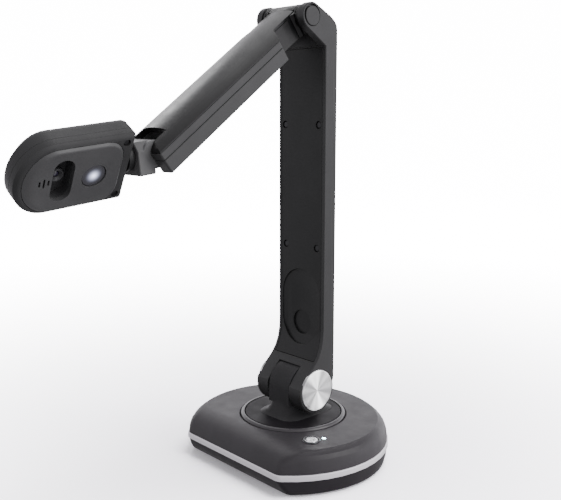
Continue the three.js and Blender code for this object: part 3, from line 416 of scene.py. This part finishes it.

# one finish for each material slot in model.glb
FINISHES = {
    "rubber_black": rubber("rubber black", (0.022, 0.022, 0.023)),
    "base_plastic": moulded("base plastic", (0.031, 0.0283, 0.0318), gloss=0.44),
    "silver_trim": painted_silver("silver paint", (0.88, 0.85, 0.89)),
    "ballast_steel": machined("ballast steel", (0.34, 0.34, 0.35), gloss=0.5),
    "circuit_board": board("circuit board", (0.012, 0.11, 0.045)),
    "steel_parts": machined("bright steel", (0.60, 0.60, 0.61), gloss=0.3),
    "black_screw": machined("black screw", (0.05, 0.05, 0.052), gloss=0.36),
    "chrome_bezel": turned_metal("button chrome", (0.09, 0.09, 0.095), gloss=0.16, twist=0.4),
    "button_metal": turned_metal("button metal", (0.86, 0.86, 0.87), gloss=0.22, twist=0.6),
    "led_lens": glowing("status light", (0.62, 0.93, 1.0), bright=26.0, dim=9.0, reach=1.5 * MM),
    "white_nylon": moulded("white nylon", (0.72, 0.71, 0.68), gloss=0.4, wear=1.05),
    "body_plastic": moulded("body plastic", (0.0240, 0.0240, 0.0245), gloss=0.42),
    "panel_plastic": moulded("panel plastic", (0.0165, 0.0165, 0.0169), gloss=0.36,
                             grain=0.5 * MM, depth=0.008 * MM, sheen=0.22),
    # the hinge caps' spun silver, with painted glints on its face
    "brushed_silver": turned_metal("spun silver", (0.42, 0.42, 0.425), gloss=0.34, painted_glints=True),
    "neck_plastic": moulded("neck plastic", (0.097, 0.097, 0.098), gloss=0.4),
    "lens_glass": coated_lens("lens glass", (0.004, 0.004, 0.010)),
    "light_diffuser": lamp_window("lamp window", (0.72, 0.75, 1.0), WINDOW_RADIUS),
}

# ---------------------------------------------------------------- imported nodes that stay

# near-black plastic for the arm's cover and knuckle: partly their own dark plastic, partly painted
# shade on the cover's near side and in the knuckle's grooves
DARK_AND_SHADED_PLASTIC = moulded("dark and shaded plastic", (0.006, 0.0059, 0.0062), gloss=0.34, depth=0.006 * MM)
TURNTABLE_PLASTIC = moulded("turntable plastic", (0.0125, 0.0114, 0.013), gloss=0.46, sheen=0.08)
RING_PLASTIC = moulded("ring plastic", (0.029, 0.0265, 0.0298), gloss=0.30, sheen=0.6)
PEDESTAL_PLASTIC = moulded("pedestal plastic", (0.031, 0.0305, 0.0317), gloss=0.45, sheen=0.1)
# a darker copy of the base plastic for the base's underside: painted shade
SHADED_UNDERSIDE_PLASTIC = moulded("shaded underside plastic", (0.023, 0.0208, 0.0236), gloss=0.5,
                            wear=1.3, sheen=0.12)
HEAD_SHELL = moulded("head shell plastic", (0.037, 0.037, 0.0377), gloss=0.46, sheen=0.12)
LENS_PANEL = moulded("lens panel plastic", (0.054, 0.054, 0.0552), gloss=0.40)
ARM_SIDE = moulded("arm side plastic", (0.034, 0.034, 0.0345), gloss=0.42)
LENS_FACE = moulded("lens face", (0.045, 0.045, 0.047), gloss=0.34)

# nodes whose finish differs from that of their slot
OWN_FINISH = {
    "arm_cover": DARK_AND_SHADED_PLASTIC,
    "arm_frame": ARM_SIDE,
    "arm_inner_shell": ARM_SIDE,
    "arm_knuckle": DARK_AND_SHADED_PLASTIC,
    "pedestal": PEDESTAL_PLASTIC,
    "turntable_disc": TURNTABLE_PLASTIC,
    "base_bottom_cover": SHADED_UNDERSIDE_PLASTIC,
    "head_housing": HEAD_SHELL,
    "head_bezel": HEAD_SHELL,
    "lens_panel": LENS_PANEL,
    "lens_barrel": LENS_FACE,
}
DEFAULT_EDGE = 0.3 * MM
EDGE_RADIUS = {
    "base_top_cover": 0.5 * MM,
    "base_trim_band": 0.35 * MM,
    "column_shell": 0.4 * MM,
    "arm_cover": 0.35 * MM,
    "neck_block": 0.4 * MM,
}
CRISP_CREASES = ("base_top_cover",)

slot_of = {node_name: piece.data.materials[0].name for node_name, piece in nodes.items()}

for node_name, piece in nodes.items():
    piece.data.materials.clear()
    piece.data.materials.append(OWN_FINISH.get(node_name, FINISHES[slot_of[node_name]]))
    shading = CRISP_SHADING if node_name in CRISP_CREASES else SHADING
    finish_edges(piece, EDGE_RADIUS.get(node_name, DEFAULT_EDGE), shading)


# ---------------------------------------------------------------- turned pieces

FULL_TURN = 2 * math.pi


def spin(outline, segments):
    """Spins (radius, height) points round the z axis. An outline that starts off the axis closes on
    itself as a ring; any other starts on the axis and ends on it or at an open rim."""
    mesh = bmesh.new()
    rings = []
    for radius, height in outline:
        ring = []
        for step in range(segments if radius else 1):
            turn = FULL_TURN * step / segments
            ring.append(mesh.verts.new((radius * math.cos(turn), radius * math.sin(turn), height)))
        rings.append(ring)
    pairs = list(zip(rings, rings[1:]))
    if outline[0][0] > 0:
        pairs.append((rings[-1], rings[0]))
    for lower, upper in pairs:
        for step in range(segments):
            after = (step + 1) % segments
            corners = [lower[step % len(lower)], lower[after % len(lower)],
                       upper[after % len(upper)], upper[step % len(upper)]]
            mesh.faces.new(list(dict.fromkeys(corners)))
    return mesh


def add_object(name, mesh, material):
    """Puts a built mesh into the scene as an object of one material."""
    data = bpy.data.meshes.new(name)
    mesh.to_mesh(data)
    mesh.free()
    data.materials.append(material)
    made = bpy.data.objects.new(name, data)
    bpy.context.scene.collection.objects.link(made)
    return made


def turned(name, outline, place, material, segments=120):
    """A piece turned round the z axis of place: a solid one, or a ring."""
    mesh = spin(outline, segments)
    bmesh.ops.recalc_face_normals(mesh, faces=mesh.faces)
    piece = add_object(name, mesh, material)
    piece.matrix_world = place
    add_group(piece, SHADING)
    return piece


def stand_in(piece, node, body):
    """The piece rides on a body and hides the node."""
    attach(piece, body)
    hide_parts(node)


def axes(origin, x, y, z):
    """A placing matrix from an origin and three directions."""
    rotation = Matrix((x, y, z)).transposed().to_4x4()
    return Matrix.Translation(origin) @ rotation


def middle(node):
    """The middle of a node's box."""
    low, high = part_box(node)
    return (low + high) / 2


def rounded(corner_radius, radius, height, steps=6):
    """A quarter-round corner from the wall at radius up to the face at height."""
    points = []
    for step in range(steps + 1):
        turn = math.pi / 2 * step / steps
        points.append((radius - corner_radius * (1 - math.cos(turn)),
                       height - corner_radius * (1 - math.sin(turn))))
    return points


def curved_in(radius, rim, depth, steps, groove=0.0):
    """Points in from a rim at radius, short of the axis. They sink by depth, or rise where depth is
    negative, and every other one is sunk by groove as well."""
    points = []
    for step in range(1, steps):
        share = step / steps
        sunk = depth * math.sin(math.pi / 2 * share) + groove * (step % 2)
        points.append((radius * (1 - share), rim - sunk))
    return points


def hinge_cap(side, name, node):
    """Spun cap on a column ear: rolled rim, a fine step and a slightly dished, ringed face."""
    low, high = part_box(node)
    centre = middle(node)
    radius = (high.z - low.z) / 2
    thick = high.x - low.x
    inner = low.x if side > 0 else high.x
    place = axes(Vector((inner, centre.y, centre.z)),
                 Vector((0, 0, side)), Vector((0, -1, 0)), Vector((side, 0, 0)))
    roll = 0.5 * MM
    land = radius - 1.3 * MM
    face = radius - 2.1 * MM
    slope = 0.2 * MM
    step_floor = thick - 0.14 * MM
    face_middle = thick - 0.24 * MM
    outline = [(0, 0), (radius, 0)]
    outline += rounded(roll, radius, thick)
    outline += [(land, thick), (land - slope, step_floor), (face + slope, step_floor), (face, thick)]
    outline += curved_in(face, thick, depth=0.22 * MM, steps=26, groove=0.018 * MM)
    outline.append((0, face_middle))
    cap = turned(name, outline, place, FINISHES["brushed_silver"], segments=144)
    stand_in(cap, node, "column")
    return cap


cap_right = hinge_cap(1, "spun_cap_right", "hinge_cap_right")
cap_left = hinge_cap(-1, "spun_cap_left", "hinge_cap_left")


def upright(node):
    """The radius, the height and the placing matrix, at its foot, of a round node that faces up."""
    low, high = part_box(node)
    foot = Matrix.Translation((*middle(node).xy, low.z))
    return (high.x - low.x) / 2, high.z - low.z, foot


def button_bezel():
    """Polished ring round the power button, with a rolled top and a step inside."""
    outer, tall, foot = upright("button_bezel")
    bore = outer - 1.45 * MM
    roll = 0.55 * MM
    lip = (outer - 0.9 * MM, tall - 0.05 * MM)
    inner_step = (bore + 0.25 * MM, tall - 0.35 * MM)
    bore_top = (bore, tall - 0.6 * MM)
    outline = [(bore, 0), (outer, 0)]
    outline += rounded(roll, outer, tall, steps=8)
    outline += [lip, inner_step, bore_top]
    ring = turned("button_ring", outline, foot, FINISHES["chrome_bezel"])
    stand_in(ring, "button_bezel", "base")


def power_button():
    """Sprung cap: rolled edge, one dark sunk ring and a shallow finger dish."""
    outer, tall, foot = upright("power_button")
    roll = 0.4 * MM
    shoulder = tall - 0.12 * MM
    ring = 2.9 * MM
    ring_floor = tall - 0.35 * MM
    slope = 0.1 * MM
    dish = 2.15 * MM
    dish_rim = tall - 0.04 * MM
    dish_middle = tall - 0.35 * MM
    outline = [(0, 0), (outer, 0)]
    outline += rounded(roll, outer, shoulder)
    outline += [(ring, tall), (ring - slope, ring_floor), (dish + slope, ring_floor), (dish, dish_rim)]
    outline += curved_in(dish, dish_rim, depth=0.3 * MM, steps=8)
    outline.append((0, dish_middle))
    cap = turned("button_cap", outline, foot, FINISHES["button_metal"])
    stand_in(cap, "power_button", "button")


def status_led():
    """Small domed light guide."""
    outer, tall, foot = upright("status_led")
    roll = 0.5 * MM
    shoulder = tall - 0.05 * MM
    outline = [(0, 0), (outer, 0)]
    outline += rounded(roll, outer, shoulder)
    outline.append((0, tall))
    light = turned("status_light_guide", outline, foot, FINISHES["led_lens"], segments=64)
    stand_in(light, "status_led", "base")


def turntable_ring():
    """Raised ring round the turntable, rounded over from its rim to its top."""
    outer, tall, foot = upright("turntable_ring")
    bore = outer - 2.6 * MM
    roll = 2.0 * MM
    chamfer = 0.15 * MM
    outline = [(bore, 0), (outer, 0)]
    outline += rounded(roll, outer, tall, steps=10)
    outline += [(bore + chamfer, tall), (bore, tall - chamfer)]
    ring = turned("rounded_turntable_ring", outline, foot, RING_PLASTIC, segments=160)
    stand_in(ring, "turntable_ring", "base")


HEAD_SLOPE = math.radians(6.4)      # how far the head's length dips below the horizontal
HEAD_TWIST = math.radians(54.8)     # how far its lens side turns from facing down towards +X


def head_axes(centre):
    """A placing matrix at centre whose z axis points out of the head's lens side."""
    along = Vector((0, -math.cos(HEAD_SLOPE), -math.sin(HEAD_SLOPE)))
    down = Vector((0, math.sin(HEAD_SLOPE), -math.cos(HEAD_SLOPE)))
    across = Vector((1, 0, 0))
    out = down * math.cos(HEAD_TWIST) + across * math.sin(HEAD_TWIST)
    side = across * math.cos(HEAD_TWIST) - down * math.sin(HEAD_TWIST)
    return axes(centre, side, along, out)


def light_window():
    """Round lamp window with a rolled rim and a low dome."""
    roll = 0.5 * MM
    dome = 0.15 * MM
    thick = 2.25 * MM
    top = thick / 2
    outline = [(0, -top), (WINDOW_RADIUS, -top)]
    outline += rounded(roll, WINDOW_RADIUS, top - dome)
    outline += curved_in(WINDOW_RADIUS - roll, top - dome, depth=-dome, steps=10)
    outline.append((0, top))
    window = turned("lamp_window_dome", outline, head_axes(middle("light_window")),
                    FINISHES["light_diffuser"])
    stand_in(window, "light_window", "head")


turntable_ring()
button_bezel()
power_button()
status_led()
light_window()

# ---------------------------------------------------------------- studio

FLOOR_REACH = 1.6
BOWL_CURVE = 0.9
BOWL_TOP = 1.5
BOWL_STEPS = 24
BOWL_SEGMENTS = 96
GLOW_REACH = 0.95        # the distance at which the floor's glow is full
WALL_GLOW = 14.0


def floor_finish():
    """Pale, half-gloss floor that glows more and more away from the middle."""
    s = Shader("pale floor")
    clouds = s.spread(s.noise(0.3, detail=4.0))
    colour = s.blend(clouds, (0.78, 0.76, 0.82), (0.83, 0.81, 0.865))
    roughness = s.spread(s.noise(0.05, detail=4.0), 0.24, 0.32)
    distance = s.node("ShaderNodeVectorMath", operation="LENGTH")
    s.join(s.place, distance.inputs[0])
    rise = s.node("ShaderNodeMapRange", interpolation_type="SMOOTHSTEP")
    rise.inputs["From Max"].default_value = GLOW_REACH
    rise.inputs["To Max"].default_value = WALL_GLOW
    s.join(distance.outputs["Value"], rise.inputs["Value"])
    s.join(rise.outputs["Result"], s.surface.inputs["Emission Strength"])
    s.surface.inputs["Emission Color"].default_value = (1.0, 1.0, 1.0, 1.0)
    return s.finish(colour, roughness, s.bump(s.noise(2 * MM), 0.004 * MM))


def studio_bowl():
    """Pale floor that curves up into a wall all round, so that no view has a horizon."""
    outline = [(0, 0), (FLOOR_REACH / 2, 0)]
    for step in range(BOWL_STEPS + 1):
        turn = math.pi / 2 * step / BOWL_STEPS
        outline.append((FLOOR_REACH + BOWL_CURVE * math.sin(turn),
                        BOWL_CURVE * (1 - math.cos(turn))))
    outline.append((FLOOR_REACH + BOWL_CURVE, BOWL_TOP))
    floor = add_object("studio_floor", spin(outline, BOWL_SEGMENTS), floor_finish())
    floor.data.shade_smooth()
    # it takes shadows and reflections, but neither lights the object nor keeps the world's light off
    floor.visible_diffuse = False
    floor.visible_glossy = False
    floor.visible_shadow = False
    return floor


def soft_box(name, place, target, size, power):
    """A white, square studio light at place, facing target."""
    data = bpy.data.lights.new(name, "AREA")
    data.shape = "SQUARE"
    data.size = size
    data.energy = power
    light = bpy.data.objects.new(name, data)
    bpy.context.scene.collection.objects.link(light)
    light.location = place
    light.rotation_mode = "QUATERNION"
    light.rotation_quaternion = (Vector(target) - Vector(place)).to_track_quat("-Z", "Y")
    return light


def shine_only_on(light, name, pieces):
    """Lets a light reach these pieces and nothing else."""
    reached = bpy.data.collections.new(name)
    for piece in pieces:
        reached.objects.link(piece)
    light.light_linking.receiver_collection = reached


studio_floor = studio_bowl()

# what the lights face
MAST = (0.0, 0.0, 0.15)
ARM_TOP = (0.0, -0.1, 0.25)
CAP_FACE = (0.03, 0.0, 0.05)
FLOOR_MIDDLE = (0.0, 0.0, 0.0)

soft_box("key light", (1.3, 0.45, 1.0), MAST, size=0.9, power=14)
soft_box("top light", (-0.6, 0.6, 1.7), MAST, size=1.3, power=9)
crown_light = soft_box("crown light", (-1.1, 0.1, 0.9), ARM_TOP, size=0.35, power=2.6)
shine_only_on(crown_light, "arm crown", (nodes["arm_cover"], nodes["arm_knuckle"]))
cap_light = soft_box("cap light", (0.65, 0.6, 0.1), CAP_FACE, size=0.6, power=5.0)
shine_only_on(cap_light, "hinge caps", (cap_right, cap_left))
floor_wash = soft_box("floor wash", (0.35, 0.5, 1.9), FLOOR_MIDDLE, size=1.2, power=150)
shine_only_on(floor_wash, "floor only", (studio_floor,))

WALL_LIGHT = 1.8
NEAR_LIGHT = 0.25
CEILING_LIGHT = 0.8      # this comes from every side, on top of the walls' light
BELOW_SHARE = 0.3        # how much of it all is left straight below the object
ROOM_COLOUR = (0.975, 0.96, 1.0, 1.0)


def studio_world():
    """A room that lights the object: a bright wall behind it, on the +Y side, a dimmer ceiling and
    near side, and little light from below."""
    room = bpy.data.worlds.new("studio")
    room.use_nodes = True
    tree = room.node_tree

    def band(value, start, end, low, high):
        """Changes from low to high as value goes from start to end."""
        step = tree.nodes.new("ShaderNodeMapRange")
        step.interpolation_type = "SMOOTHSTEP"
        for socket, number in (("From Min", start), ("From Max", end),
                               ("To Min", low), ("To Max", high)):
            step.inputs[socket].default_value = number
        tree.links.new(value, step.inputs["Value"])
        return step.outputs["Result"]

    split = tree.nodes.new("ShaderNodeSeparateXYZ")
    direction = tree.nodes.new("ShaderNodeTexCoord").outputs["Generated"]
    tree.links.new(direction, split.inputs[0])
    far_wall = band(split.outputs["Y"], start=-0.7, end=0.6, low=NEAR_LIGHT, high=WALL_LIGHT)
    low_down = band(split.outputs["Z"], start=0.1, end=0.75, low=1.0, high=0.0)
    walls = tree.nodes.new("ShaderNodeMath")
    walls.operation = "MULTIPLY_ADD"
    walls.inputs[2].default_value = CEILING_LIGHT
    tree.links.new(far_wall, walls.inputs[0])
    tree.links.new(low_down, walls.inputs[1])
    from_below = band(split.outputs["Z"], start=-0.45, end=0.0, low=BELOW_SHARE, high=1.0)
    level = tree.nodes.new("ShaderNodeMath")
    level.operation = "MULTIPLY"
    tree.links.new(walls.outputs[0], level.inputs[0])
    tree.links.new(from_below, level.inputs[1])
    background = tree.nodes["Background"]
    background.inputs["Color"].default_value = ROOM_COLOUR
    tree.links.new(level.outputs[0], background.inputs["Strength"])
    bpy.context.scene.world = room


studio_world()

# ---------------------------------------------------------------- camera

CAMERA_PLACE = (0.38667, -0.36813, 0.23713)
LOOKS_DOWN = math.radians(9.80)
LOOKS_ROUND = math.radians(47.36)     # how far its view turns from +Y towards -X
LEVEL = math.radians(90)              # the tilt of a camera that looks at the horizon

camera_data = bpy.data.cameras.new("camera")
camera_data.lens = 50.65
camera_data.sensor_width = 36.0
camera_data.clip_start = 0.02
camera_data.clip_end = 30.0
camera = bpy.data.objects.new("camera", camera_data)
camera.location = CAMERA_PLACE
camera.rotation_euler = (LEVEL - LOOKS_DOWN, 0.0, LOOKS_ROUND)
bpy.context.scene.collection.objects.link(camera)
bpy.context.scene.camera = camera
